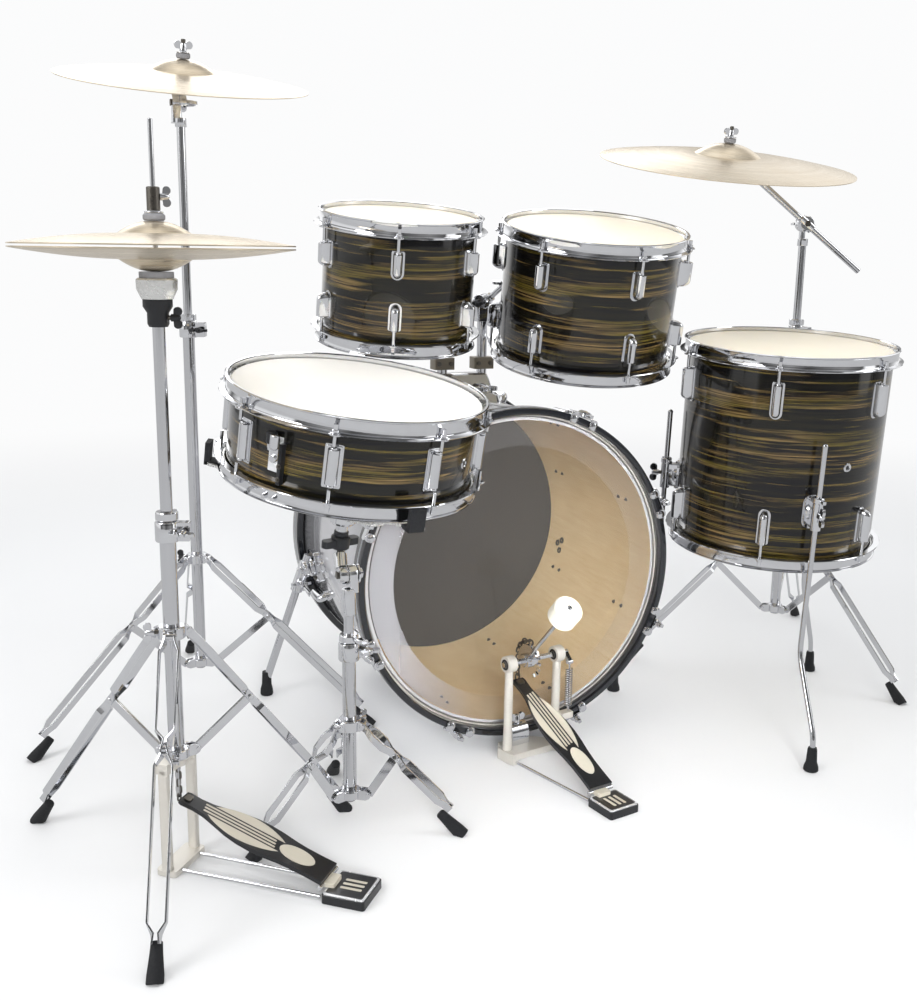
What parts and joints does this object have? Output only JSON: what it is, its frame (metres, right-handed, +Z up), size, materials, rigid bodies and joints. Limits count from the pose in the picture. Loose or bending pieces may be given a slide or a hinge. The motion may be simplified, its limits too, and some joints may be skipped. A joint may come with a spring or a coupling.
{
  "type": "acoustic drum kit",
  "caption": "Acoustic drum kit: bass drum with rack toms, floor tom, snare on a basket stand, hi-hat, crash and ride cymbals on tripod stands, and a chain bass drum pedal.",
  "frame": {"origin": "on the floor, in the middle of the kit's footprint, under the feet's level", "axes": "+X to the player's right, +Y away from the player through the bass drum, +Z up"},
  "size_m": [1.7914, 1.1676, 1.2086],
  "materials": {
    "chrome": "polished",
    "cast_metal": "satin",
    "dark_wrap": "gloss, fine horizontal streaks in olive and gold brown",
    "grey_wrap": "gloss",
    "black_lacquer": "gloss lacquer",
    "clear_film": "clear film",
    "dark_film": "satin film",
    "white_film": "coated film",
    "cream_film": "translucent film",
    "bronze": "turned and polished",
    "black_paint": "satin paint",
    "steel_wire": "satin"
  },
  "bodies": {
    "kit": {"bass_shell": "grey_wrap", "bass_batter_hoop": "black_lacquer", "bass_front_hoop": "black_lacquer", "bass_batter_head": "clear_film", "bass_front_head": "dark_film", "tom_mount": "chrome", "floor_tom_shell": "dark_wrap", "floor_tom_batter_hoop": "chrome", "floor_tom_batter_head": "cream_film", "floor_tom_bottom_hoop": "chrome", "floor_tom_bottom_head": "cream_film", "snare_stand_tripod": "chrome", "hihat_stand_tripod": "chrome", "hihat_tube": "chrome", "hihat_bottom_cymbal": "bronze", "hihat_heel_plate": "black_paint", "crash_stand_tripod": "chrome", "ride_stand_tripod": "chrome", "pedal_frame": "cast_metal", "pedal_chain": "steel_wire", "pedal_spring": "chrome", "pedal_heel_plate": "black_paint"},
    "spur_left": {"bass_spur_left": "chrome"},
    "spur_right": {"bass_spur_right": "chrome"},
    "tom1": {"tom1_shell": "dark_wrap", "tom1_batter_hoop": "chrome", "tom1_batter_head": "cream_film", "tom1_bottom_hoop": "chrome", "tom1_bottom_head": "cream_film", "tom1_arm": "chrome"},
    "tom2": {"tom2_shell": "dark_wrap", "tom2_batter_hoop": "chrome", "tom2_batter_head": "cream_film", "tom2_bottom_hoop": "chrome", "tom2_bottom_head": "cream_film", "tom2_arm": "chrome"},
    "floor_tom_leg_front": {"floor_tom_leg_front": "chrome"},
    "floor_tom_leg_right": {"floor_tom_leg_right": "chrome"},
    "floor_tom_leg_left": {"floor_tom_leg_left": "chrome"},
    "snare_post": {"snare_stand_tube": "chrome"},
    "snare_drum": {"snare_shell": "dark_wrap", "snare_batter_hoop": "chrome", "snare_batter_head": "white_film", "snare_bottom_hoop": "chrome", "snare_bottom_head": "cream_film", "snare_wires": "steel_wire", "snare_basket": "chrome"},
    "snare_throw_off": {"snare_lever": "chrome"},
    "hihat_pull_rod": {"hihat_rod": "chrome", "hihat_top_cymbal": "bronze"},
    "hihat_pedal": {"hihat_footboard": "black_paint"},
    "crash_post": {"crash_tube": "chrome"},
    "crash_tilt": {"crash_tilter": "chrome"},
    "crash_dish": {"crash_cymbal": "bronze"},
    "ride_post": {"ride_tube": "chrome"},
    "ride_arm": {"ride_boom": "chrome"},
    "ride_tilt": {"ride_tilter": "chrome"},
    "ride_dish": {"ride_cymbal": "bronze"},
    "beater": {"pedal_axle": "chrome"},
    "bass_pedal": {"pedal_footboard": "black_paint"}
  },
  "joints": [
    {"name": "spur_left_fold", "type": "hinge", "parent": "kit", "child": "spur_left", "pos_m": [-0.37343, 0.24449, 0.2599], "axis": [0.9822, 0, 0.188], "range_deg": [0, 70]},
    {"name": "spur_right_fold", "type": "hinge", "parent": "kit", "child": "spur_right", "pos_m": [0.21397, 0.24449, 0.2599], "axis": [0.9822, 0, -0.188], "range_deg": [0, 70]},
    {"name": "tom1_tilt", "type": "hinge", "parent": "kit", "child": "tom1", "pos_m": [-0.11973, 0.16649, 0.77], "axis": [0.7861, -0.6181, 0], "range_deg": [-6, 6]},
    {"name": "tom2_tilt", "type": "hinge", "parent": "kit", "child": "tom2", "pos_m": [-0.03973, 0.16649, 0.77], "axis": [0.8433, 0.5374, 0], "range_deg": [-6, 6]},
    {"name": "floor_tom_leg_front_height", "type": "slide", "parent": "kit", "child": "floor_tom_leg_front", "axis": [-0.0148, -0.0738, 0.9972], "range_m": [0, 0.08]},
    {"name": "floor_tom_leg_right_height", "type": "slide", "parent": "kit", "child": "floor_tom_leg_right", "axis": [-0.0148, -0.0738, 0.9972], "range_m": [0, 0.08]},
    {"name": "floor_tom_leg_left_height", "type": "slide", "parent": "kit", "child": "floor_tom_leg_left", "axis": [-0.0148, -0.0738, 0.9972], "range_m": [0, 0.08]},
    {"name": "snare_post_height", "type": "slide", "parent": "kit", "child": "snare_post", "axis": [0, 0, 1], "range_m": [-0.005, 0.02]},
    {"name": "snare_tilt", "type": "hinge", "parent": "snare_post", "child": "snare_drum", "pos_m": [-0.43673, -0.27051, 0.396], "axis": [1, 0, 0], "range_deg": [-1, 5]},
    {"name": "throw_off_lever", "type": "hinge", "parent": "snare_drum", "child": "snare_throw_off", "pos_m": [-0.57374, -0.4015, 0.5997], "axis": [0.7785, 0.6267, 0.0346], "range_deg": [0, 95]},
    {"name": "hihat_rod_lift", "type": "slide", "parent": "kit", "child": "hihat_pull_rod", "axis": [0, 0, 1], "range_m": [0, 0.03]},
    {"name": "hihat_pedal_hinge", "type": "hinge", "parent": "kit", "child": "hihat_pedal", "pos_m": [-0.52038, -0.45341, 0.022], "axis": [0.6428, 0.766, 0], "range_deg": [0, 8]},
    {"name": "crash_post_height", "type": "slide", "parent": "kit", "child": "crash_post", "axis": [0, 0, 1], "range_m": [-0.05, 0.12]},
    {"name": "crash_tilter_hinge", "type": "hinge", "parent": "crash_post", "child": "crash_tilt", "pos_m": [-0.57573, 0.25649, 1.107], "axis": [1, 0, 0], "range_deg": [-10, 10]},
    {"name": "crash_swing", "type": "hinge", "parent": "crash_tilt", "child": "crash_dish", "pos_m": [-0.56341, 0.27074, 1.17868], "axis": [1, 0, 0], "range_deg": [-5, 5], "stiffness_Nm_per_rad": 3, "springref_deg": 2.07},
    {"name": "ride_post_height", "type": "slide", "parent": "kit", "child": "ride_post", "axis": [0, 0, 1], "range_m": [-0.04, 0.1]},
    {"name": "ride_boom_hinge", "type": "hinge", "parent": "ride_post", "child": "ride_arm", "pos_m": [0.64727, 0.11649, 0.928], "axis": [-0.297, -0.9549, 0], "range_deg": [-8, 8]},
    {"name": "ride_tilter_hinge", "type": "hinge", "parent": "ride_arm", "child": "ride_tilt", "pos_m": [0.53141, 0.14797, 1.02111], "axis": [0, 1, 0], "range_deg": [-10, 10]},
    {"name": "ride_swing", "type": "hinge", "parent": "ride_tilt", "child": "ride_dish", "pos_m": [0.49021, 0.16704, 1.07974], "axis": [1, 0, 0], "range_deg": [-5, 5], "stiffness_Nm_per_rad": 3, "springref_deg": 3.15},
    {"name": "beater_axle", "type": "hinge", "parent": "kit", "child": "beater", "pos_m": [-0.07773, -0.15551, 0.177], "axis": [-0.9816, -0.1908, 0], "range_deg": [0, 52], "stiffness_Nm_per_rad": 1.5, "springref_deg": -25.78, "deforming": ["pedal_chain", "pedal_spring"]},
    {"name": "bass_pedal_hinge", "type": "hinge", "parent": "kit", "child": "bass_pedal", "pos_m": [-0.03957, -0.35183, 0.022], "axis": [-0.9816, -0.1908, 0], "range_deg": [0, 7.5]}
  ],
  "couplings": [
    {"joint": "bass_pedal_hinge", "follows": "beater_axle", "ratio": 0.14},
    {"joint": "hihat_pedal_hinge", "follows": "hihat_rod_lift", "rad_per_m": 4.4}
  ]
}
